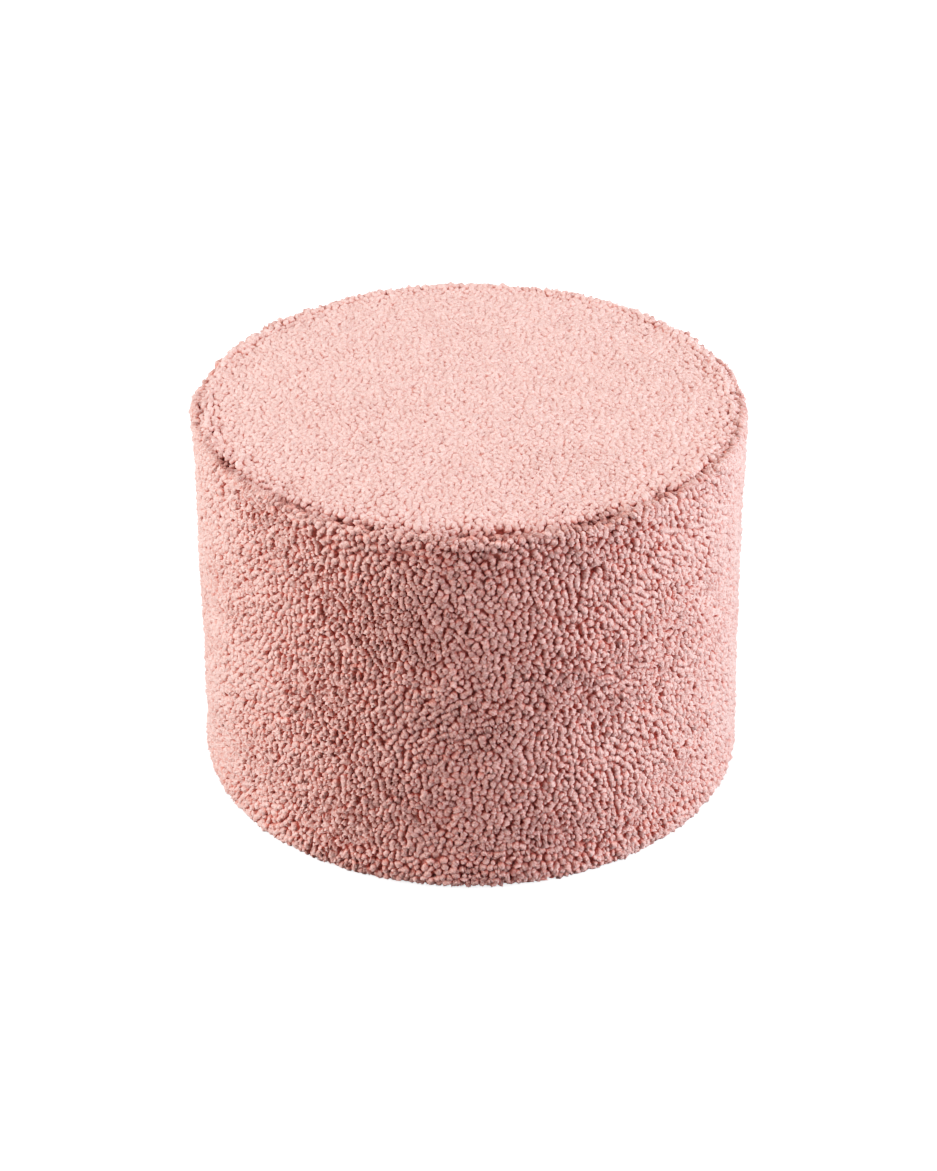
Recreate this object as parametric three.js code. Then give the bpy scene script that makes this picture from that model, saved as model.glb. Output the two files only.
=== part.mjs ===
// A round plush pouf: a filled drum of curly pile cloth, sewn from a top, a side and a base panel.
// Sizes are in millimetres over the tips of the pile. +Z is up, and the origin is at the middle of the base.
import * as THREE from "three";

// Driving dimensions
const DIAMETER = 450;
const HEIGHT = 330;
const CROWN = 4; // rise of the filled top from its rim to its middle
const RIM_INSET = 24; // where the rolled edge of the top ends and the crown begins, in from the radius
const TOP_SEAM_DROP = 11.5; // depth of the top seam below the middle of the top, at the back
const TOP_SEAM_INSET = 4; // depth of the top seam behind the wall, at the back
const COVER_SET = { inset: 6, rise: 5 }; // how much further in and higher the top seam lies at the front
const BASE_SEAM_RISE = 6; // height of the base seam above the floor
const BASE_SEAM_INSET = 13; // depth of the base seam behind the wall
const CLOSING_SEAM = { angle: Math.PI / 2, depth: 2.4, width: 8 }; // joins the side panel's ends, at the back
const GAP = 0.3; // space kept between two panels that are sewn together

// Spacing of the mesh
const SEGMENTS = 120;
const WALL_ROW = 12; // between the sections up the plain wall
const CROWN_ROW = 24; // between the sections across the crown

// The seams hold the cloth, so its unevenness fades out over these distances from them.
const WALL_HOLD = 45; // up or down the wall
const RIM_HOLD = 40; // across the top, in from the radius
const EDGE_HEIGHT = 30; // up or down the side panel's rolled edges
const EDGE_DEPTH = 3.6; // from the wall in to where a rolled edge is held
const EDGE_LIFT = 8; // up the groove from the top seam

const RADIUS = DIAMETER / 2;
const TOP_SEAM_RISE = HEIGHT - TOP_SEAM_DROP;

const PLUSH = new THREE.MeshStandardMaterial({ color: 0xe2aca3, roughness: 0.95, metalness: 0 });
const BASE_CLOTH = new THREE.MeshStandardMaterial({ color: 0xcf9d94, roughness: 0.9, metalness: 0 });

// Sections of the side panel's two rolled edges: inset in from the radius, at a height above the edge's seam.
// The upper edge stands up at the corner of the drum and turns down into the groove of the top seam.
// The cover sits a little back on its filling, and set is a section's share of the seam's way there.
const SIDE_LOWER_EDGE = [
  { inset: BASE_SEAM_INSET, above: 0 },
  { inset: 11.5, above: -4.4 },
  { inset: 8.5, above: -5.6 },
  { inset: 5.0, above: -4.2 },
  { inset: 2.2, above: 0 },
  { inset: 0.6, above: 7 },
  { inset: 0, above: 18 },
];
const SIDE_UPPER_EDGE = [
  { inset: 0, above: -16, set: 0 },
  { inset: 0.3, above: -6, set: 0.1 },
  { inset: 0.7, above: -0.6, set: 0.35 },
  { inset: 1.3, above: 2.2, set: 0.65 },
  { inset: 2.0, above: 3.5, set: 0.9 },
  { inset: 2.8, above: 3.7, set: 1 },
  { inset: 3.4, above: 2.8, set: 1 },
  { inset: TOP_SEAM_INSET - GAP, above: 0, set: 1 },
];

// Sections of the top panel's edge, up the other side of the groove to the rim.
const TOP_EDGE = [
  { inset: TOP_SEAM_INSET, above: 0, set: 1 },
  { inset: 4.5, above: 2.4, set: 1 },
  { inset: 5.6, above: 4.4, set: 1 },
  { inset: 8.0, above: 6.0, set: 0.9 },
  { inset: 13.0, above: 7.0, set: 0.55 },
  { inset: RIM_INSET, above: TOP_SEAM_DROP - CROWN, set: 0 },
];

// Sections of the base panel's rounded edge: inset in from its own rim, at a height above the floor.
const BASE_EDGE = [
  { inset: 5.0, rise: 0 },
  { inset: 1.6, rise: 0.7 },
  { inset: 0.4, rise: 2.4 },
  { inset: 0, rise: BASE_SEAM_RISE - GAP },
];

// Unevenness of the filled cloth. A wall wave is counted round the drum and up the wall, and lean slants it.
// A top wave has a length and a heading across the disc. turn sets where a wave starts. Angles in radians.
const WALL_WAVES = [
  { size: 0.7, round: 3, up: 1, lean: 0.2, turn: 0.4 },
  { size: 0.6, round: 7, up: 2, lean: -0.3, turn: 2.1 },
  { size: 0.5, round: 13, up: 5, lean: 0.25, turn: 4.0 },
  { size: 0.5, round: 19, up: 4, lean: -0.2, turn: 1.2 },
  { size: 0.5, round: 23, up: 7, lean: 0.15, turn: 5.3 },
];
const TOP_WAVES = [
  { size: 0.6, length: 310, heading: 0.5, turn: 1.0 },
  { size: 0.5, length: 170, heading: 2.2, turn: 3.3 },
  { size: 0.4, length: 120, heading: 3.7, turn: 0.2 },
  { size: 0.4, length: 95, heading: 5.4, turn: 2.6 },
];
const SEAM_WAVES = [
  { size: 0.8, round: 3, turn: 1.7 },
  { size: 0.7, round: 8, turn: 0.6 },
  { size: 0.5, round: 13, turn: 4.4 },
];
const SIDE_EDGE_WAVES = [
  { size: 0.7, round: 9, turn: 2.9 },
  { size: 0.7, round: 16, turn: 0.9 },
  { size: 0.6, round: 25, turn: 5.0 },
];
const TOP_EDGE_WAVES = [
  { size: 0.7, round: 7, turn: 0.3 },
  { size: 0.7, round: 17, turn: 4.1 },
  { size: 0.6, round: 26, turn: 2.2 },
];

const { smoothstep } = THREE.MathUtils;

// The sum of a table of waves at an angle round the drum and a share of the way up it.
function waveSum(waves, angle, share = 0) {
  const one = ({ size, round, turn, up = 0, lean = 0 }) =>
    size * Math.cos(round * (angle + lean * share) + turn) * Math.cos(up * Math.PI * share);
  return waves.reduce((sum, wave) => sum + one(wave), 0);
}

// Heights or radii from one value to another, about a spacing apart, without the two ends.
function between(from, to, spacing) {
  const steps = Math.ceil(Math.abs(to - from) / spacing);
  return Array.from({ length: steps - 1 }, (_, i) => from + ((to - from) * (i + 1)) / steps);
}

// The shallow dent of the side panel's closing seam, by the distance round the wall from it.
function closingDent(angle) {
  const turn = Math.atan2(Math.sin(angle - CLOSING_SEAM.angle), Math.cos(angle - CLOSING_SEAM.angle));
  return CLOSING_SEAM.depth * Math.exp(-(((turn * RADIUS) / CLOSING_SEAM.width) ** 2));
}

// How far the wall's cloth stands out at a point, between the two seams that hold it.
function wallSwell(angle, radius, rise) {
  const drop = TOP_SEAM_RISE - rise;
  const outer = smoothstep(radius, RADIUS - EDGE_DEPTH, RADIUS - EDGE_DEPTH / 4);
  const free = smoothstep(rise, 0, WALL_HOLD) * smoothstep(drop, 0, WALL_HOLD);
  const edge = 2 - smoothstep(rise, EDGE_DEPTH, EDGE_HEIGHT) - smoothstep(drop, EDGE_DEPTH, EDGE_HEIGHT);
  const swell = free * waveSum(WALL_WAVES, angle, rise / HEIGHT) + edge * waveSum(SIDE_EDGE_WAVES, angle);
  return outer * (swell - closingDent(angle));
}

// How far the cover is set back at an angle: 0 at the back and 1 at the front.
function coverSet(angle) {
  return (1 - Math.sin(angle)) / 2;
}

// How far the top seam moves up and down round the drum, growing from nothing inside the rim.
function seamWander(angle, radius) {
  const move = COVER_SET.rise * coverSet(angle) + waveSum(SEAM_WAVES, angle);
  return smoothstep(radius, RADIUS - RIM_HOLD, RADIUS - TOP_SEAM_INSET) * move;
}

// How far the top's cloth stands up at an angle and a radius.
function topSwell(angle, radius) {
  const free = smoothstep(RADIUS - radius, TOP_SEAM_INSET, RIM_HOLD);
  const one = ({ size, length, heading, turn }) =>
    size * Math.cos(((2 * Math.PI * radius) / length) * Math.cos(angle - heading) + turn);
  return free * TOP_WAVES.reduce((sum, wave) => sum + one(wave), 0);
}

// How far the top panel's rolled edge stands out.
function topEdgeSwell(angle, radius) {
  return smoothstep(radius, RADIUS - RIM_HOLD, RADIUS - EDGE_DEPTH) * waveSum(TOP_EDGE_WAVES, angle);
}

// A solid turned from a profile of [radius, height, set] points that runs up from the axis and back to it.
// Each of its points is then moved by shape(angle, radius, height), which gives the new [radius, height],
// and is set in with the seam.
function turned(profile, shape) {
  const points = profile.map(([radius, height]) => new THREE.Vector2(radius, height));
  const geometry = new THREE.LatheGeometry(points, SEGMENTS).rotateX(Math.PI / 2);
  geometry.deleteAttribute("normal");
  geometry.deleteAttribute("uv");
  const position = geometry.getAttribute("position");
  for (let i = 0; i < position.count; i++) {
    const [x, y, z] = [position.getX(i), position.getY(i), position.getZ(i)];
    const angle = Math.atan2(y, x);
    const [moved, height] = shape(angle, Math.hypot(x, y), z);
    const set = profile[i % profile.length][2] ?? 0;
    const radius = moved - set * COVER_SET.inset * coverSet(angle);
    position.setXYZ(i, radius * Math.cos(angle), radius * Math.sin(angle), height);
  }
  geometry.computeVertexNormals();
  return geometry;
}

function panel(name, geometry, material) {
  const mesh = new THREE.Mesh(geometry, material);
  mesh.name = name;
  return mesh;
}

// The side panel with the filling that it holds: one filled drum with rolled edges at both seams.
function sidePanel() {
  const seam = TOP_SEAM_RISE - GAP;
  const lower = SIDE_LOWER_EDGE.map(({ inset, above }) => [RADIUS - inset, BASE_SEAM_RISE + above]);
  const upper = SIDE_UPPER_EDGE.map(({ inset, above, set }) => [RADIUS - inset, seam + above, set]);
  const wall = between(lower.at(-1)[1], upper[0][1], WALL_ROW).map((rise) => [RADIUS, rise]);
  const profile = [[0, BASE_SEAM_RISE], ...lower, ...wall, ...upper, [0, seam]];
  const shape = (angle, radius, height) => {
    const held = smoothstep(height, seam - EDGE_HEIGHT, seam);
    return [radius + wallSwell(angle, radius, height), height + held * seamWander(angle, radius)];
  };
  return panel("side_panel", turned(profile, shape), PLUSH);
}

// The round top panel with its crown, its edge rolled down to the seam.
function topPanel() {
  const edge = TOP_EDGE.map(({ inset, above, set }) => [RADIUS - inset, TOP_SEAM_RISE + above, set]);
  const rim = RADIUS - RIM_INSET;
  const crown = between(rim, 0, CROWN_ROW).map((radius) => [radius, HEIGHT - CROWN * (radius / rim) ** 2]);
  const profile = [[0, TOP_SEAM_RISE], ...edge, ...crown, [0, HEIGHT]];
  const shape = (angle, radius, height) => {
    const free = smoothstep(height - TOP_SEAM_RISE, 0, EDGE_LIFT);
    const held = 1 - smoothstep(height, TOP_SEAM_RISE, HEIGHT - CROWN);
    return [
      radius + free * topEdgeSwell(angle, radius),
      height + free * topSwell(angle, radius) + held * seamWander(angle, radius),
    ];
  };
  return panel("top_panel", turned(profile, shape), PLUSH);
}

// The flat base panel, which lies inside the side panel's lower edge.
function basePanel() {
  const rim = RADIUS - BASE_SEAM_INSET - GAP;
  const edge = BASE_EDGE.map(({ inset, rise }) => [rim - inset, rise]);
  const profile = [[0, 0], ...edge, [0, BASE_SEAM_RISE - GAP]];
  return panel("base_panel", turned(profile, (angle, radius, height) => [radius, height]), BASE_CLOTH);
}

const pouf = new THREE.Group();
pouf.name = "plush_pouf";
pouf.add(topPanel(), sidePanel(), basePanel());

export default pouf;
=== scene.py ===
import math

import bpy
import numpy as np
from mathutils import Matrix, Vector, kdtree


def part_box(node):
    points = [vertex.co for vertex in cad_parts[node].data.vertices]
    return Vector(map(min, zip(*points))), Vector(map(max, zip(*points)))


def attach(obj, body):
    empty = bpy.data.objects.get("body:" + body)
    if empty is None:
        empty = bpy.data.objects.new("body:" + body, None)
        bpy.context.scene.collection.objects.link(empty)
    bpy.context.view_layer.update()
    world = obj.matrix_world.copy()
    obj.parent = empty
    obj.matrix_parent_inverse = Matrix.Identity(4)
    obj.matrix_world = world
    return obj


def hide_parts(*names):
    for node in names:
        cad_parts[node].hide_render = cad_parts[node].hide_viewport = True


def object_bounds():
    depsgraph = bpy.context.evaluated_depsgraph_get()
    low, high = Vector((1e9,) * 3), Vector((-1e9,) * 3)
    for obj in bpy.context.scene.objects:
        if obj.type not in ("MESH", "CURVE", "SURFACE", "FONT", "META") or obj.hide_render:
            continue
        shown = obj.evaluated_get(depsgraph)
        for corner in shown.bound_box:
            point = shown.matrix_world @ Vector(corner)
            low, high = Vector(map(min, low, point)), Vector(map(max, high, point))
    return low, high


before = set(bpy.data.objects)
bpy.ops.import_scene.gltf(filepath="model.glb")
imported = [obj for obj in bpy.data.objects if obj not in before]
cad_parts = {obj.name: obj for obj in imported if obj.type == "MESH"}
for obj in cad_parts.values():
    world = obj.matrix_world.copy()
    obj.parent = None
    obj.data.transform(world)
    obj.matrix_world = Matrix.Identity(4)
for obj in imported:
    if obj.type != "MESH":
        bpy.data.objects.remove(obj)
CAD_LOW, CAD_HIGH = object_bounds()

# The drum, from the frame
MM = 0.001
BASE_SEAM_INSET = 13.3 * MM  # depth of the base seam behind the wall
BASE_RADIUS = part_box("base_panel")[1].x
BASE_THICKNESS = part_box("base_panel")[1].z
RADIUS = BASE_RADIUS + BASE_SEAM_INSET
CLOSING_ANGLE = math.pi / 2  # where the side panel's ends are sewn together, at the back
WELD = 0.01 * MM  # points of a solid closer than this are one
RIM_SHARE = 0.8  # of the radius, past which a point of the top panel is on its rim
ANGLE_DECIMALS = 3  # to which the angles round the rim are told apart, in radians

# The pile: curls of falling radius, each with its share of the cloth's area and the mesh of one curl.
# A sunk curl fills a space that the others leave between them.
CURL_SIZES = [
    {"radius": 4.2 * MM, "share": 0.05, "rings": 3, "sides": 7, "sunk": 0},
    {"radius": 3.6 * MM, "share": 0.20, "rings": 3, "sides": 7, "sunk": 0},
    {"radius": 3.1 * MM, "share": 0.40, "rings": 3, "sides": 7, "sunk": 0},
    {"radius": 2.6 * MM, "share": 0.40, "rings": 2, "sides": 6, "sunk": 0.3 * MM},
    {"radius": 2.0 * MM, "share": 0.60, "rings": 2, "sides": 6, "sunk": 0.8 * MM},
]
# How the pile lies on each panel: the growth of its curls, the distance between two as a share of their
# radii, their height as a share of their radius, the spread of their tips, how soon they take the painted
# shade of the roots (less soon on the top, which is lit from above), the finest mesh of a curl, the depth of
# the backing cloth, how far the tips stand past the solid, and the distance from the top seam over which the
# lie of the edge gives way to that of the panel
LIE = {
    "side_panel": {
        "growth": 1.0, "closeness": 0.77, "height": 1.25, "spread": 0.4 * MM, "root": 1.1, "rings": 3,
        "backing": 4.2 * MM, "stand": 1.2 * MM, "edge": (4 * MM, 15 * MM),
    },
    "top_panel": {
        "growth": 0.95, "closeness": 0.60, "height": 0.7, "spread": 0.2 * MM, "root": 0.6, "rings": 2,
        "backing": 2.6 * MM, "stand": 0, "edge": (9 * MM, 26 * MM),
    },
}
# How it lies along the top seam, on the edges of both panels
EDGE = {"closeness": 0.70, "height": 1.1, "spread": 0.45 * MM, "root": 0.7, "backing": 4.4 * MM}
CANDIDATES = 0.6 / MM**2  # random places tried for each square metre
BASE_BARE = 10.5 * MM  # how far in under the lower edge the pile runs
CLOSING_BARE = 1.6 * MM  # half the parting at the closing seam
TOP_SEWN_IN = -0.5  # rise of the normal below which the top panel is sewn in and bare
SIDE_SEWN_IN = -0.7  # outward share of the normal below which the side panel is
FLOOR_CLEAR = 0.3 * MM  # least height of a curl's points over the floor
PILE = 4.6 * MM  # depth over which the curls take the painted shade of their roots

# The shape of a curl, by its radius. A pair is a random range, and a spread is that of a normal draw.
LONG_SHARE = 0.18  # of the curls
LONG = {"width": (0.85, 1.0), "length": (1.3, 1.7), "droop": 1.0}
SHORT = {"width": (1.0, 1.15), "length": (1.0, 1.25), "droop": 0.3}
TALL = 0.9, 1.15
LEAST_TALL = 2.2 * MM
DROOP = 0.35  # of the ends, by the height
BEND_SPREAD = 0.35  # by the width
BEND_MIDDLE = 0.3  # keeps a bent curl over its root
ROUGH_SPREAD = 0.16
ROUGH_LIMIT = 1.5
LEAN_SPREAD = 0.12
TILT_SPREAD = 0.2
RING_SPREAD = 0.94  # draws the rings of a curl's mesh in from an even spacing
STEEP = 0.8  # rise of the normal past which a curl's lie is measured from the back, not from above

# Unevenness of the pile: a slow change over the cloth, of a size, and a random part of each curl's own
TIPS = {"size": 30 * MM, "seed": 1, "slow": 0.6, "own": 0.8}
TUFTS = {"size": 17 * MM, "seed": 4, "slow": 0.6, "own": 0.4}
HEADINGS = {"size": 120 * MM, "seed": 2, "slow": 0.6, "own": 0.4}
NOISE_WAVES = 9
NOISE_PITCH = 0.6, 1.5

# The top seam, where the curls are longer and stand up, and are drawn down where it gapes and painted darker
# there as shade
SEAM_FLARE = 12 * MM  # reach of the longer curls from the seam
FLARE_FADE = 0.45 * SEAM_FLARE, SEAM_FLARE
FLARE_GROWTH = 0.2  # how much shorter and taller a curl is there
FLARE_TILT = 0.1, 0.7
TUFT = 1.1 * MM  # unevenness of the longer curls
TUFT_LIMIT = 1.2
TUFT_UPRIGHT = 0.3  # share of it on upright cloth
STAND_UP = 1.5
SEAM_GAPE = 3.2 * MM, 8.5 * MM  # distance from the seam over which the curls are drawn down
SEAM_SINK = 5.2 * MM  # how far they are drawn down, and the backing beside the seam with them
SINK_RANGE = 0.7, 1.2
SEAM_CREASE = 0.25  # how far the seam is open, from 0 to 1, between its gapes
# Where it gapes: degrees round from the front, and half the width
GAPES = [(-62, 4), (-39, 5), (-25, 6), (4, 9), (26, 7), (45, 5), (131, 5), (172, 6)]
GAPE_FADE = 0.5, 1.3  # shares of the half width over which a gape closes
GAPE_SHADE_DEPTH = 0.5  # how much nearer to the roots' painted shade the curls in a gape are: painted shade in the seam
GAPE_SHADE_STEPS = 7.5  # and how many steps of tone darker they are painted, as shade in the seam

# The covers: backing cloth blown up by the filling and held at the seams
SWELL = 3 * MM  # how far the filling blows the cloth up between its seams
PRESSURE = 4.0
CLOTH_FRAMES = 20
CLOTH_QUALITY = 5
# Distances from a seam over which its hold on the cloth fades
TOP_SEAM_HOLD = 0.5 * SEAM_FLARE, 2 * SEAM_FLARE
BASE_SEAM_HOLD = SEAM_FLARE, 2.5 * SEAM_FLARE
SEAM_ALLOWANCE = 0.5 * MM  # past a seam, where the cloth is still sewn in
SIDE_PILE_PARTS = 5  # joined meshes of the pile
TOP_PILE_PARTS = 2

# The base cloth: rings across its underside and its upper side, and the inset and rise of its edge
BASE_RINGS = (0.0, 0.3, 0.55, 0.75, 0.88, 0.95, 0.98)
BASE_EDGE = [(1.6 * MM, 0.7 * MM), (0.4 * MM, 2.4 * MM)]
BASE_UPPER_RINGS = (0.9, 0.5, 0.0)
BASE_SIDES = 128

# Colours, linear
# Painted light: the top's plush is a paler copy of the side's, as the top is lit from above and the side is
# more in shade
SIDE_TIP_SHADED = (0.82, 0.42, 0.37)
TOP_TIP_LIT = (0.82, 0.44, 0.395)
# Painted shade: the roots' darker, deeper colours stand for the shade between the curls, paler on the lit top
SIDE_ROOT_SHADE = (0.70, 0.25, 0.205)
TOP_ROOT_SHADE = (0.76, 0.33, 0.28)
FIBRE_SHADES = (0.78, 0.64, 0.62), (1.12, 1.2, 1.21)  # of the fibres in shade and on top
# Painted shade: the backing between the curls is dark as the shade there, paler on the lit top
SIDE_BACKING_SHADE = (0.50, 0.17, 0.135), (0.60, 0.23, 0.19)
TOP_BACKING_SHADE = (0.58, 0.23, 0.19), (0.70, 0.29, 0.245)
BASE_COLOUR = (0.52, 0.27, 0.24)
BASE_SHADE = 0.72  # of the colour, between the threads

# Finishes. The fibres of a curl are measured in millimetres along its own axes.
STRANDS = {"Scale": 0.7, "Detail": 1.5, "Roughness": 0.6}
STRAND_STRETCH = (0.45, 1.0, 1.0)
FUZZ = {"Scale": 0.75, "Detail": 1.5, "Roughness": 0.7}
FUZZ_RANGE = {"From Min": 0.3, "From Max": 0.7}
FUZZ_RELIEF = 0.5  # share of the fuzz in the relief
THREAD_SHIFT = 400  # how far apart the curls' fibres are taken from the same noise
ROOT_SHADE_RANGE = {"From Min": 0.15, "From Max": 0.8}
TONE_STEP = 0.06
TONE_LIMIT = 2
SIDE_RELIEF = 1.4 * MM
TOP_RELIEF = 0.9 * MM
PLUSH_FINISH = {
    "Roughness": 0.9, "Specular IOR Level": 0.05,
    "Subsurface Weight": 0.3, "Subsurface Radius": (1.0, 0.9, 0.87), "Subsurface Scale": 0.8 * MM,
    "Sheen Weight": 0.1, "Sheen Roughness": 0.25, "Sheen Tint": (1.0, 0.9, 0.88, 1.0),
}
KNIT = {"Scale": 420.0, "Detail": 3.0}
KNIT_RELIEF = {"Strength": 0.8, "Distance": 0.8 * MM}
BACKING_FINISH = {"Roughness": 0.95, "Specular IOR Level": 0.1}
THREADS = {"Scale": 350.0, "Distortion": 0.4, "Detail": 1.0}
THREAD_RELIEF = {"Strength": 0.6, "Distance": 0.3 * MM}
SLUBS = {"Scale": 60.0, "Detail": 4.0}
SLUB_LIFT = 0.4
BASE_FINISH = {"Roughness": 0.85}

# The studio: a sweep that rises into a wall all round, and its lights, with their watts
SWEEP_COLOUR = (0.92, 0.92, 0.92)
SWEEP_GLOW = 1.3
SWEEP_FINISH = {"Roughness": 0.9, "Emission Strength": SWEEP_GLOW}
FLOOR_RINGS = (0.8, 2.0)
FLOOR_RADIUS = 4.5
FLOOR_BEND = 1.5
BEND_STEPS = 9
WALL_HEIGHT = 4.0
SWEEP_SIDES = 96
MIDDLE = (0, 0, 0.2)  # of the pouf, that the lights face
LIGHTS = {
    "overhead": {"place": (0, 0.3, 2.2), "target": MIDDLE, "size": (2.4, 2.0), "power": 65,
                 "colour": (1.08, 1.0, 0.97)},
    "left": {"place": (-1.9, -0.46, 0.6), "target": MIDDLE, "size": (1.9, 1.6), "power": 128,
             "colour": (1, 1, 1)},
    "right": {"place": (1.9, -0.46, 0.6), "target": MIDDLE, "size": (1.9, 1.6), "power": 138,
              "colour": (0.96, 1.0, 1.08)},
    "backdrop": {"place": (0, 1.2, 1.4), "target": (0, 2.6, 0), "size": (3.5, 0.8), "power": 70,
                 "colour": (1, 1, 1)},
}
FILL_LIGHT = {"Color": (1.0, 0.72, 0.65, 1.0), "Strength": 0.09}

# The photo's print: light is kept as it is up to the knee, and rolls off to white above it
KNEE = 0.15
ROLL_OFF = 1.05
WHITE = 1.9
PRINT_STEPS = 9

# The camera that took the photo
LENS = 100.0
SENSOR = 36.0
CAMERA_DISTANCE = 2.7067
CAMERA_ELEVATION = math.radians(31.05)
CAMERA_ROLL = -0.0037
CAMERA_TARGET = Vector((-0.0014, 0.0, 0.1495))

LEVEL = np.array([1.0, 1.0, 0.0])
UP = np.array([0.0, 0.0, 1.0])
BACK = np.array([0.0, 1.0, 0.0])
NO_LENGTH = 1e-9  # stands for a length of nothing in a division
SEED = 7

rng = np.random.default_rng(SEED)


def smoothstep(x, low, high):
    t = np.clip((x - low) / (high - low), 0.0, 1.0)
    return t * t * (3 - 2 * t)


def unit(v):
    return v / np.maximum(np.linalg.norm(v, axis=-1, keepdims=True), NO_LENGTH)


def turns_of(sides):
    return np.arange(sides) * 2 * math.pi / sides


# Meshes

def node_mesh(name):
    """Welded points and triangles of a CAD node."""
    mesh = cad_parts[name].data
    mesh.calc_loop_triangles()
    co = np.empty(len(mesh.vertices) * 3)
    mesh.vertices.foreach_get("co", co)
    co = co.reshape(-1, 3)
    tris = np.empty(len(mesh.loop_triangles) * 3, np.int32)
    mesh.loop_triangles.foreach_get("vertices", tris)
    keys, index = np.unique(np.round(co / WELD).astype(np.int64), axis=0, return_inverse=True)
    index = index.ravel()
    points = np.zeros((len(keys), 3))
    points[index] = co
    return points, index[tris.reshape(-1, 3)]


def face_normals(points, tris):
    """Normals of the triangles, each as long as twice its area."""
    a, b, c = points[tris[:, 0]], points[tris[:, 1]], points[tris[:, 2]]
    return np.cross(b - a, c - a)


def halved(points, tris):
    """The same surface with each triangle cut into four."""
    edges = np.sort(tris[:, [[0, 1], [1, 2], [2, 0]]].reshape(-1, 2), axis=1)
    edges, index = np.unique(edges, axis=0, return_inverse=True)
    ab, bc, ca = (index.reshape(-1, 3) + len(points)).T
    a, b, c = tris.T
    quarters = (a, ab, ca), (ab, b, bc), (ca, bc, c), (ab, bc, ca)
    faces = np.concatenate([np.stack(quarter, 1) for quarter in quarters])
    return np.concatenate([points, points[edges].mean(1)]), faces


def closed_rings(rings, sides):
    """Triangles of a closed body: a first point, rings of as many points as sides, and a last point."""
    last = rings * sides + 1
    tris = []
    for k in range(sides):
        n = (k + 1) % sides
        tris += [(0, 1 + n, 1 + k), (last, last - sides + k, last - sides + n)]
        for ring in range(rings - 1):
            p, q = 1 + ring * sides, 1 + (ring + 1) * sides
            tris += [(p + k, p + n, q + n), (p + k, q + n, q + k)]
    return np.array(tris)


def new_piece(name, points, faces, material, solid):
    """A smooth mesh object from arrays of points and of faces with equal numbers of corners."""
    mesh = bpy.data.meshes.new(name)
    corners = faces.shape[1]
    mesh.vertices.add(len(points))
    mesh.vertices.foreach_set("co", np.ascontiguousarray(points, np.float32).ravel())
    mesh.loops.add(faces.size)
    mesh.loops.foreach_set("vertex_index", np.ascontiguousarray(faces, np.int32).ravel())
    mesh.polygons.add(len(faces))
    mesh.polygons.foreach_set("loop_start", np.arange(0, faces.size, corners, dtype=np.int32))
    mesh.update(calc_edges=True)
    mesh.shade_smooth()
    mesh.materials.append(material)
    piece = bpy.data.objects.new(name, mesh)
    bpy.context.scene.collection.objects.link(piece)
    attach(piece, "root")
    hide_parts(solid)
    return piece


def set_attribute(piece, name, kind, values):
    key = "vector" if kind == "FLOAT_VECTOR" else "value"
    attribute = piece.data.attributes.new(name, kind, "POINT")
    attribute.data.foreach_set(key, np.ascontiguousarray(values, np.float32).ravel())


# Materials

def new_material(name):
    material = bpy.data.materials.new(name)
    material.use_nodes = True
    tree = material.node_tree
    return material, tree, tree.nodes["Principled BSDF"]


def put(tree, target, inputs):
    """Sets a shader node's inputs to values, or links sockets to them."""
    for key, value in inputs.items():
        if isinstance(value, bpy.types.NodeSocket):
            tree.links.new(value, target.inputs[key])
        else:
            target.inputs[key].default_value = value


def node(tree, kind, inputs, **settings):
    """A shader node with its settings and its inputs."""
    made = tree.nodes.new("ShaderNode" + kind)
    for key, value in settings.items():
        setattr(made, key, value)
    put(tree, made, inputs)
    return made


def attribute_node(tree, name):
    return node(tree, "Attribute", {}, attribute_name=name)


def math_node(tree, operation, a, b):
    return node(tree, "Math", {0: a, 1: b}, operation=operation).outputs[0]


def mix_node(tree, factor, low, high, blend="MIX"):
    """A mix of two colours. Their sockets have the numbers 6 and 7."""
    made = node(tree, "Mix", {"Factor": factor, 6: low, 7: high}, data_type="RGBA", blend_type=blend)
    return made.outputs[2]


def rgba(colour):
    return (*colour, 1.0)


def plush_material(name, tip, root, relief):
    """Curly plush: fibres wound along each curl, painted shade as a darker, deeper colour at the roots, and a
    soft pale sheen.
    """
    material, tree, shader = new_material(name)
    along = attribute_node(tree, "curl").outputs["Vector"]
    stretched = node(tree, "Mapping", {"Vector": along, "Scale": STRAND_STRETCH}).outputs["Vector"]
    strands = node(tree, "TexNoise", {"Vector": stretched, **STRANDS}).outputs["Fac"]
    fuzz = node(tree, "TexNoise", {"Vector": along, **FUZZ}).outputs["Fac"]
    depth = attribute_node(tree, "depth").outputs["Fac"]
    tone_and_shade = attribute_node(tree, "tone_and_shade").outputs["Fac"]
    height = node(tree, "MapRange", {"Value": depth, **ROOT_SHADE_RANGE}, interpolation_type="SMOOTHSTEP")
    mottle = node(tree, "MapRange", {"Value": fuzz, **FUZZ_RANGE})
    # Painted shade: towards its roots a curl takes the darker root colour
    body = mix_node(tree, height.outputs[0], rgba(root), rgba(tip))
    # The tone holds each curl's random tone and the painted shade of the seam's gapes
    shade = math_node(tree, "ADD", math_node(tree, "MULTIPLY", tone_and_shade, TONE_STEP), 1.0)
    toned = mix_node(tree, 1.0, body, shade, "MULTIPLY")
    fibre = mix_node(tree, mottle.outputs[0], rgba(FIBRE_SHADES[0]), rgba(FIBRE_SHADES[1]))
    colour = mix_node(tree, 1.0, toned, fibre, "MULTIPLY")
    bump = math_node(tree, "ADD", strands, math_node(tree, "MULTIPLY", fuzz, FUZZ_RELIEF))
    fibres = node(tree, "Bump", {"Height": bump, "Strength": 1.0, "Distance": relief})
    put(tree, shader, {"Base Color": colour, "Normal": fibres.outputs["Normal"], **PLUSH_FINISH})
    return material


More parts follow.
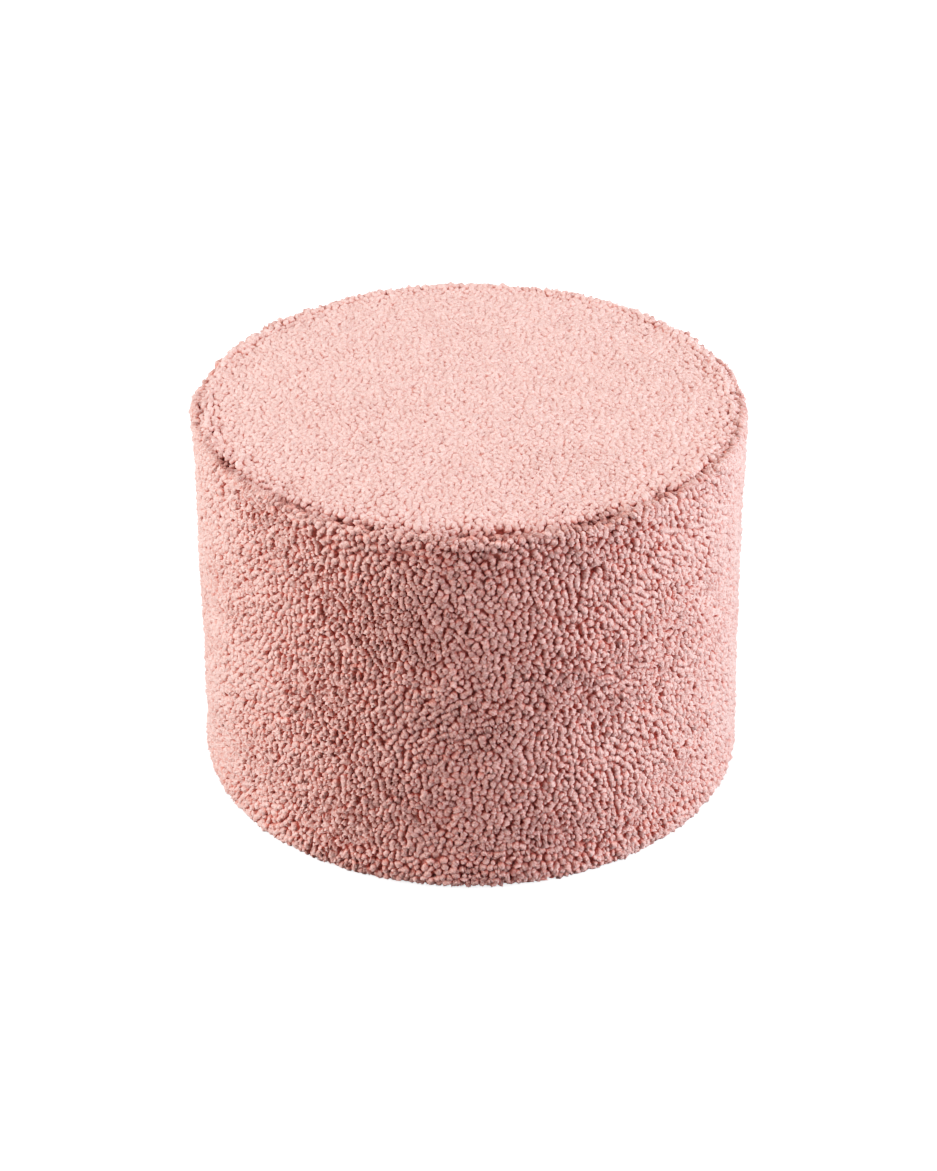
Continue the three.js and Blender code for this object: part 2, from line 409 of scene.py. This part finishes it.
def shaded_backing_material(name, low, high):
    """The knitted backing that shows between the curls, painted in the dark colours of the shade between
    them.
    """
    material, tree, shader = new_material(name)
    place = node(tree, "TexCoord", {}).outputs["Object"]
    knit = node(tree, "TexNoise", {"Vector": place, **KNIT}).outputs["Fac"]
    colour = mix_node(tree, knit, rgba(low), rgba(high))
    relief = node(tree, "Bump", {"Height": knit, **KNIT_RELIEF})
    put(tree, shader, {"Base Color": colour, "Normal": relief.outputs["Normal"], **BACKING_FINISH})
    return material


def base_material():
    """Plain woven cloth: warp and weft threads crossing at 0.9 mm, with slubs."""
    material, tree, shader = new_material("base_cloth")
    place = node(tree, "TexCoord", {}).outputs["Object"]
    thread = {"Vector": place, **THREADS}
    warp = node(tree, "TexWave", thread, bands_direction="X").outputs["Fac"]
    weft = node(tree, "TexWave", thread, bands_direction="Y").outputs["Fac"]
    weave = math_node(tree, "MAXIMUM", warp, weft)
    slub = node(tree, "TexNoise", {"Vector": place, **SLUBS}).outputs["Fac"]
    mixed = math_node(tree, "MULTIPLY", weave, math_node(tree, "ADD", slub, SLUB_LIFT))
    low = tuple(BASE_SHADE * c for c in BASE_COLOUR)
    colour = mix_node(tree, mixed, rgba(low), rgba(BASE_COLOUR))
    relief = node(tree, "Bump", {"Height": weave, **THREAD_RELIEF})
    put(tree, shader, {"Base Color": colour, "Normal": relief.outputs["Normal"], **BASE_FINISH})
    return material


# The top seam

def seam_ring():
    """The top seam, off the top panel's lower edge: angles round the drum, with its radius and height."""
    points, _ = node_mesh("top_panel")
    edge = points[np.hypot(points[:, 0], points[:, 1]) > RIM_SHARE * RADIUS]
    angles = np.round(np.arctan2(edge[:, 1], edge[:, 0]), ANGLE_DECIMALS)
    order = np.lexsort((edge[:, 2], angles))
    turns, first = np.unique(angles[order], return_index=True)
    lowest = edge[order[first]]
    return turns, np.hypot(lowest[:, 0], lowest[:, 1]), lowest[:, 2]


def seam_at(places):
    """Radius and height of the top seam at the angle of each place."""
    turns, *ring = SEAM
    angles = np.arctan2(places[:, 1], places[:, 0])
    return [np.interp(angles, turns, values, period=2 * math.pi) for values in ring]


def seam_distance(places):
    radius, height = seam_at(places)
    return np.hypot(np.hypot(places[:, 0], places[:, 1]) - radius, places[:, 2] - height)


def gaping(places):
    """How far the top seam gapes at the angle of each place, from 0 to 1."""
    turns = np.degrees(np.arctan2(places[:, 0], -places[:, 1]))
    gape = np.full(len(places), SEAM_CREASE)
    for middle, half in GAPES:
        off = np.abs((turns - middle + 180) % 360 - 180)
        gape = np.maximum(gape, 1 - smoothstep(off, *(half * share for share in GAPE_FADE)))
    return gape


def blended(key, lie, places):
    """A value of the lie of the pile at each place, between that of the panel and that of its edge."""
    edge = 1 - smoothstep(seam_distance(places), *lie["edge"])
    return lie[key] + (EDGE[key] - lie[key]) * edge


# Pile

def surface_points(points, tris, count):
    """Random points spread evenly over a mesh, with the smooth normals there."""
    flat = face_normals(points, tris)
    normals = np.zeros_like(points)
    for k in range(3):
        np.add.at(normals, tris[:, k], flat)
    normals = unit(normals)
    area = np.linalg.norm(flat, axis=1)
    pick = rng.choice(len(tris), count, p=area / area.sum())
    u, v = np.sqrt(rng.random(count)), rng.random(count)
    share = np.stack([1 - u, u * (1 - v), u * v], 1)[:, :, None]
    return (points[tris[pick]] * share).sum(1), unit((normals[tris[pick]] * share).sum(1))


def piled(name, places, normals):
    """Which places on a panel carry pile: not the sewn-in faces, the seams or the parting at the back."""
    if name == "top_panel":
        return normals[:, 2] > TOP_SEWN_IN
    ring = np.hypot(places[:, 0], places[:, 1])
    outward = (normals * unit(places * LEVEL)).sum(1)
    arc = np.abs(np.arctan2(places[:, 1], places[:, 0]) - CLOSING_ANGLE) * RADIUS
    radius, height = seam_at(places)
    inner = np.where(places[:, 2] > height - SEAM_FLARE, radius, RADIUS - BASE_BARE)
    return (ring > inner) & (outward > SIDE_SEWN_IN) & (arc > CLOSING_BARE)


def tree_of(points):
    tree = kdtree.KDTree(len(points))
    for i, point in enumerate(points):
        tree.insert(point, i)
    tree.balance()
    return tree


def packed(places, area, reach):
    """Places for curls and the number of each one's size, the largest first, in the places' random order.

    The reach at each place is the share of a curl's radius that it keeps clear of other curls.
    """
    tree = tree_of(places)
    largest = reach.max() * CURL_SIZES[0]["radius"]
    clear = [math.inf] * len(places)  # distance from a place to the rims of the curls so far
    kept, sizes = [], []
    for number, size in enumerate(CURL_SIZES):
        left = int(size["share"] * area / (math.pi * (reach.mean() * size["radius"])**2))
        for i, place in enumerate(places):
            radius = reach[i] * size["radius"]
            if clear[i] >= radius and left > 0:
                left -= 1
                kept.append(i)
                sizes.append(number)
                for _, j, distance in tree.find_range(place, radius + largest):
                    clear[j] = min(clear[j], distance - radius)
    return np.array(kept), np.array(sizes)


def bean(rings, sides):
    """A closed bean along its axis: (along, across, up) of each point on a unit ball, and its triangles."""
    stations = np.linspace(-1, 1, rings + 2)[1:-1] * RING_SPREAD
    body = [(s, math.sqrt(1 - s * s) * math.cos(a + i), math.sqrt(1 - s * s) * math.sin(a + i))
            for i, s in enumerate(stations) for a in turns_of(sides)]
    return np.array([(-1, 0, 0), *body, (1, 0, 0)]), closed_rings(rings, sides)


def uneven(places, size, seed, slow, own):
    """A random value at each place, of about unit spread, by the shares of its slow and its own part."""
    waves = np.random.default_rng(seed)
    pitch = unit(waves.normal(size=(NOISE_WAVES, 3))) * (2 * math.pi / size)
    pitch *= waves.uniform(*NOISE_PITCH, (NOISE_WAVES, 1))
    field = np.cos(places @ pitch.T + waves.uniform(0, 2 * math.pi, NOISE_WAVES)).sum(1)
    return slow * field * (2 / NOISE_WAVES) ** 0.5 + own * rng.normal(size=len(places))


def carried(places, cloth):
    """Places moved with the nearest points of the simulated cloth."""
    points, moves = cloth
    tree = tree_of(points)
    return places + moves[[tree.find(place)[1] for place in places]]


def curls(name, cloth):
    """The curls of one plush panel, size by size."""
    points, tris = node_mesh(name)
    area = 0.5 * np.linalg.norm(face_normals(points, tris), axis=1).sum()
    places, normals = surface_points(points, tris, int(CANDIDATES * area))
    shown = piled(name, places, normals)
    area *= shown.mean()
    places, normals = places[shown], normals[shown]
    lie = LIE[name]
    kept, sizes = packed(places, area, lie["growth"] * blended("closeness", lie, places))
    places, normals = carried(places[kept], cloth), normals[kept]
    for number, size in enumerate(CURL_SIZES):
        chosen = sizes == number
        yield curl_meshes(places[chosen], normals[chosen], size, lie)


def curl_meshes(places, normals, size, lie):
    """Curls of one size: points (curl, point, xyz), the triangles of one, and the values at each point."""
    total = len(places)
    height, spread, root = (blended(key, lie, places) for key in ("height", "spread", "root"))
    radius = lie["growth"] * size["radius"]
    away = seam_distance(places)
    flare = 1 - smoothstep(away, *FLARE_FADE)

    # Shape of each curl
    long = rng.random(total) < LONG_SHARE
    width, length = (radius * np.where(long, rng.uniform(*LONG[key], total), rng.uniform(*SHORT[key], total))
                     for key in ("width", "length"))
    length *= 1 - FLARE_GROWTH * flare
    tall = height * radius * rng.uniform(*TALL, total) * (1 + FLARE_GROWTH * flare)
    tall = np.maximum(tall, LEAST_TALL)
    rise = spread * uneven(places, **TIPS) - size["sunk"]
    tuft = TUFT * np.clip(uneven(places, **TUFTS), -TUFT_LIMIT, TUFT_LIMIT)
    tuft *= TUFT_UPRIGHT + (1 - TUFT_UPRIGHT) * normals[:, 2]
    rise += lie["stand"] * (1 - flare) + flare * tuft

    # Curls beside the seam stand up, and are drawn down where it gapes
    near = 1 - smoothstep(away, *SEAM_GAPE)
    gape = near * gaping(places)
    rise -= SEAM_SINK * gape * rng.uniform(*SINK_RANGE, total)
    outward = unit(places * LEVEL)
    inward = np.minimum((normals * outward).sum(1), 0) * near
    normals = unit(normals - inward[:, None] * outward + (STAND_UP * near - gape)[:, None] * UP)

    # Directions of each curl: normal, along the lie of the pile, and across it
    normals = unit(normals + LEAN_SPREAD * rng.normal(size=(total, 3)))
    across = unit(np.cross(np.where(np.abs(normals[:, 2:]) < STEEP, UP, BACK), normals))
    heading = uneven(places, **HEADINGS)
    up_hill = np.cross(normals, across)
    along = up_hill * np.cos(heading)[:, None] + across * np.sin(heading)[:, None]
    tilt = TILT_SPREAD * rng.normal(size=total) + flare * rng.uniform(*FLARE_TILT, total)
    axis = along * np.cos(tilt)[:, None] + normals * np.sin(tilt)[:, None]
    lift = normals * np.cos(tilt)[:, None] - along * np.sin(tilt)[:, None]
    side = np.cross(lift, axis)

    # Points of each curl, on its own axes and then in place, with its tip at its rise above the cloth
    shape, tris = bean(min(size["rings"], lie["rings"]), size["sides"])
    from_middle = shape[None, :, 0] ** 2
    rough = rng.normal(size=(total, len(shape), 1))
    rough = 1 + ROUGH_SPREAD * np.clip(rough, -ROUGH_LIMIT, ROUGH_LIMIT)
    local = shape[None] * rough * np.stack([length, width, tall], 1)[:, None, :]
    local[:, :, 1] += BEND_SPREAD * rng.normal(size=(total, 1)) * width[:, None] * (from_middle - BEND_MIDDLE)
    droop = DROOP * tall * np.where(long, LONG["droop"], SHORT["droop"])
    local[:, :, 2] -= droop[:, None] * from_middle
    reach = np.hypot(length * np.sin(tilt), tall * np.cos(tilt))  # from the middle of a curl to its tip
    centre = places + normals * (rise - reach)[:, None]
    points = (centre[:, None, :] + axis[:, None, :] * local[:, :, :1]
              + side[:, None, :] * local[:, :, 1:2] + lift[:, None, :] * local[:, :, 2:])
    points[:, :, 2] = np.maximum(points[:, :, 2], FLOOR_CLEAR)

    # Values at each point: how near it is to the tip, which sets the painted shade of its roots, the curl's
    # random tone with the painted shade of the seam's gapes, and the place along its fibres
    rises = (points * normals[:, None]).sum(2)
    below = (rises.max(1, keepdims=True) - rises) / PILE
    # Painted shade: the roots, and more so the curls in the seam's gapes, take the darker root colour
    depth = np.clip(1 - root[:, None] * below - GAPE_SHADE_DEPTH * gape[:, None], 0, 1)
    # Each curl's random tone, with the curls in a gape toned darker as painted shade
    tone_and_shade = np.clip(rng.normal(size=(total, 1)), -TONE_LIMIT, TONE_LIMIT) - GAPE_SHADE_STEPS * gape[:, None]
    thread = local / MM + rng.uniform(-THREAD_SHIFT, THREAD_SHIFT, (total, 1, 3))
    return points, tris, depth, np.repeat(tone_and_shade, len(shape), 1), thread


def pile_pieces(name, label, parts, material, cloth):
    """The curls of a panel as a few joined meshes, one for each sector of the drum."""
    groups = list(curls(name, cloth))
    for k in range(parts):
        columns, faces, start = [], [], 0
        for points, tris, depth, tone_and_shade, thread in groups:
            middle = points.mean(1)
            turn = np.arctan2(middle[:, 1], middle[:, 0]) / (2 * math.pi) + 0.5
            chosen = np.minimum((turn * parts).astype(int), parts - 1) == k
            offsets = start + np.arange(chosen.sum()) * points.shape[1]
            faces.append((tris[None] + offsets[:, None, None]).reshape(-1, 3))
            values = np.concatenate([points, depth[:, :, None], tone_and_shade[:, :, None], thread], 2)
            columns.append(values[chosen].reshape(-1, values.shape[2]))
            start += len(columns[-1])
        values, faces = np.concatenate(columns), np.concatenate(faces)
        piece = new_piece(f"{label}_{k + 1}", values[:, :3], faces, material, name)
        # The depth carries the painted shade of the roots and of the gapes
        set_attribute(piece, "depth", "FLOAT", values[:, 3])
        set_attribute(piece, "tone_and_shade", "FLOAT", values[:, 4])
        set_attribute(piece, "curl", "FLOAT_VECTOR", values[:, 5:8])


# Covers

def drawn_in(points, depth):
    """Points of a panel drawn in towards the middle of the drum by a depth at each point."""
    middle = np.array([0.0, 0.0, 0.5 * (CAD_LOW.z + CAD_HIGH.z)])
    size = np.array([RADIUS, RADIUS, CAD_HIGH.z - middle[2]])
    return points - (points - middle) / size * depth[:, None]


def seam_hold(name, points):
    """How firmly the seams hold each point of a panel: 1 at them and on sewn-in faces, 0 on free cloth."""
    ring, rise = np.hypot(points[:, 0], points[:, 1]), points[:, 2]
    seam_radius, seam_rise = seam_at(points)
    top_seam = 1 - smoothstep(seam_distance(points), *TOP_SEAM_HOLD)
    if name == "top_panel":
        return np.where(rise < seam_rise + SEAM_ALLOWANCE, 1.0, top_seam)
    base_seam = 1 - smoothstep(np.hypot(ring - BASE_RADIUS, rise - BASE_THICKNESS), *BASE_SEAM_HOLD)
    return np.where(ring < seam_radius + SEAM_ALLOWANCE, 1.0, np.maximum(top_seam, base_seam))


def blow_up(piece, hold):
    """Runs a piece as cloth under the pressure of its filling, held at its seams, until it settles."""
    pins = piece.vertex_groups.new(name="seams")
    for i, weight in enumerate(hold):
        pins.add([i], float(weight), "REPLACE")
    cloth = piece.modifiers.new("filling", "CLOTH")
    cloth.settings.quality = CLOTH_QUALITY
    cloth.settings.use_pressure = True
    cloth.settings.uniform_pressure_force = PRESSURE
    cloth.settings.effector_weights.gravity = 0
    cloth.settings.vertex_group_mass = "seams"
    cloth.point_cache.frame_start, cloth.point_cache.frame_end = 1, CLOTH_FRAMES
    for number in range(1, CLOTH_FRAMES + 1):
        bpy.context.scene.frame_set(number)
    settled = np.empty(len(hold) * 3)
    shown = piece.evaluated_get(bpy.context.evaluated_depsgraph_get())
    shown.data.vertices.foreach_get("co", settled)
    piece.modifiers.remove(cloth)
    piece.vertex_groups.remove(pins)
    bpy.context.scene.frame_set(1)
    return settled.reshape(-1, 3)


def cover(name, label, material):
    """The filled backing cloth of a panel: its solid drawn in by the pile and the swell, then blown up again.

    Returns the panel's points and how far the cloth there comes to rest from where the solid puts it.
    """
    points, tris = halved(*node_mesh(name))
    hold = seam_hold(name, points)
    free = SWELL * (1 - hold)
    backing = blended("backing", LIE[name], points)
    backing += SEAM_SINK * (1 - smoothstep(seam_distance(points), *SEAM_GAPE))
    full = drawn_in(points, backing)
    slack = drawn_in(points, backing + free)
    piece = new_piece(label, slack, tris, material, name)
    settled = blow_up(piece, hold)
    move = settled - slack
    length = np.maximum(np.linalg.norm(move, axis=1), NO_LENGTH)
    settled = slack + move * np.minimum(1, free / length)[:, None]
    piece.data.vertices.foreach_set("co", np.ascontiguousarray(settled, np.float32).ravel())
    piece.data.update()
    return points, settled - full


def base(material):
    """The flat base cloth: a disc with its edge turned up into the seam."""
    profile = [(BASE_RADIUS * share, 0.0) for share in BASE_RINGS]
    profile += [(BASE_RADIUS - inset, rise) for inset, rise in BASE_EDGE]
    profile += [(BASE_RADIUS, BASE_THICKNESS)]
    profile += [(BASE_RADIUS * share, BASE_THICKNESS) for share in BASE_UPPER_RINGS]
    inner = profile[1:-1]
    edge = [(r * math.cos(a), r * math.sin(a), z) for r, z in inner for a in turns_of(BASE_SIDES)]
    points = np.array([(0, 0, 0), *edge, (0, 0, BASE_THICKNESS)])
    tris = closed_rings(len(inner), BASE_SIDES)
    return new_piece("base_cloth", points, tris, material, "base_panel")


# Studio

def sweep():
    """A floor that rises into a wall all round, lit from within so that it is as pale from every side."""
    material, tree, shader = new_material("studio_floor")
    colour = rgba(SWEEP_COLOUR)
    put(tree, shader, {"Base Color": colour, "Emission Color": colour, **SWEEP_FINISH})
    bend = np.linspace(0, math.pi / 2, BEND_STEPS)
    wall_radius = FLOOR_RADIUS + FLOOR_BEND
    radii = [*FLOOR_RINGS, *(FLOOR_RADIUS + FLOOR_BEND * np.sin(bend)), wall_radius]
    heights = [*(0.0 for _ in FLOOR_RINGS), *(FLOOR_BEND * (1 - np.cos(bend))), WALL_HEIGHT]
    turns = turns_of(SWEEP_SIDES)
    points = [(r * math.cos(a), r * math.sin(a), z) for r, z in zip(radii, heights) for a in turns]
    faces = [tuple(range(SWEEP_SIDES))]
    for ring in range(len(radii) - 1):
        for k in range(SWEEP_SIDES):
            p, q, n = ring * SWEEP_SIDES, (ring + 1) * SWEEP_SIDES, (k + 1) % SWEEP_SIDES
            faces.append((p + k, q + k, q + n, p + n))
    mesh = bpy.data.meshes.new("studio_floor")
    mesh.from_pydata(points, [], faces)
    mesh.shade_smooth()
    mesh.materials.append(material)
    floor = bpy.data.objects.new("studio_floor", mesh)
    bpy.context.scene.collection.objects.link(floor)
    floor.visible_diffuse = False  # the pouf is lit by the lights, not by the sweep


def area_light(name, place, target, size, power, colour):
    data = bpy.data.lights.new(name, "AREA")
    data.shape = "RECTANGLE"
    data.size, data.size_y = size
    data.energy = power
    data.color = colour
    lamp = bpy.data.objects.new(name, data)
    bpy.context.scene.collection.objects.link(lamp)
    lamp.location = place
    lamp.rotation_euler = (Vector(target) - Vector(place)).to_track_quat("-Z", "Y").to_euler()


def studio():
    sweep()
    for name, light in LIGHTS.items():
        area_light(name, **light)
    world = bpy.data.worlds.new("studio")
    world.use_nodes = True
    put(world.node_tree, world.node_tree.nodes["Background"], FILL_LIGHT)
    bpy.context.scene.world = world


def print_curve():
    """The roll-off of the photo's print, as the curve of the view."""
    view = bpy.context.scene.view_settings
    view.view_transform = "Standard"
    view.use_curve_mapping = True
    view.curve_mapping.white_level = (WHITE, WHITE, WHITE)
    points = view.curve_mapping.curves[3].points  # of the red, green and blue together
    for light in np.linspace(KNEE, WHITE, PRINT_STEPS)[:-1]:
        points.new(light / WHITE, KNEE + ROLL_OFF * (1 - math.exp((KNEE - light) / ROLL_OFF)))
    view.curve_mapping.update()


def camera():
    data = bpy.data.cameras.new("camera")
    data.lens = LENS
    data.sensor_width = SENSOR
    eye = bpy.data.objects.new("camera", data)
    bpy.context.scene.collection.objects.link(eye)
    back = Vector((0, -math.cos(CAMERA_ELEVATION), math.sin(CAMERA_ELEVATION)))
    eye.location = CAMERA_TARGET + back * CAMERA_DISTANCE
    turn = (-back).to_track_quat("-Z", "Y").to_matrix()
    eye.rotation_euler = (turn @ Matrix.Rotation(CAMERA_ROLL, 3, "Z")).to_euler()
    bpy.context.scene.camera = eye


SEAM = seam_ring()
camera()
studio()
print_curve()
# A paler lit copy of the plush for the top and a shaded one for the side: painted light
side_plush_shaded = plush_material("side_plush_shaded", SIDE_TIP_SHADED, SIDE_ROOT_SHADE, SIDE_RELIEF)
top_plush_lit = plush_material("top_plush_lit", TOP_TIP_LIT, TOP_ROOT_SHADE, TOP_RELIEF)
side_cloth = cover("side_panel", "side_shaded_backing", shaded_backing_material("side_shaded_backing", *SIDE_BACKING_SHADE))
top_cloth = cover("top_panel", "top_shaded_backing", shaded_backing_material("top_shaded_backing", *TOP_BACKING_SHADE))
base(base_material())
pile_pieces("side_panel", "side_pile", SIDE_PILE_PARTS, side_plush_shaded, side_cloth)
pile_pieces("top_panel", "top_pile", TOP_PILE_PARTS, top_plush_lit, top_cloth)
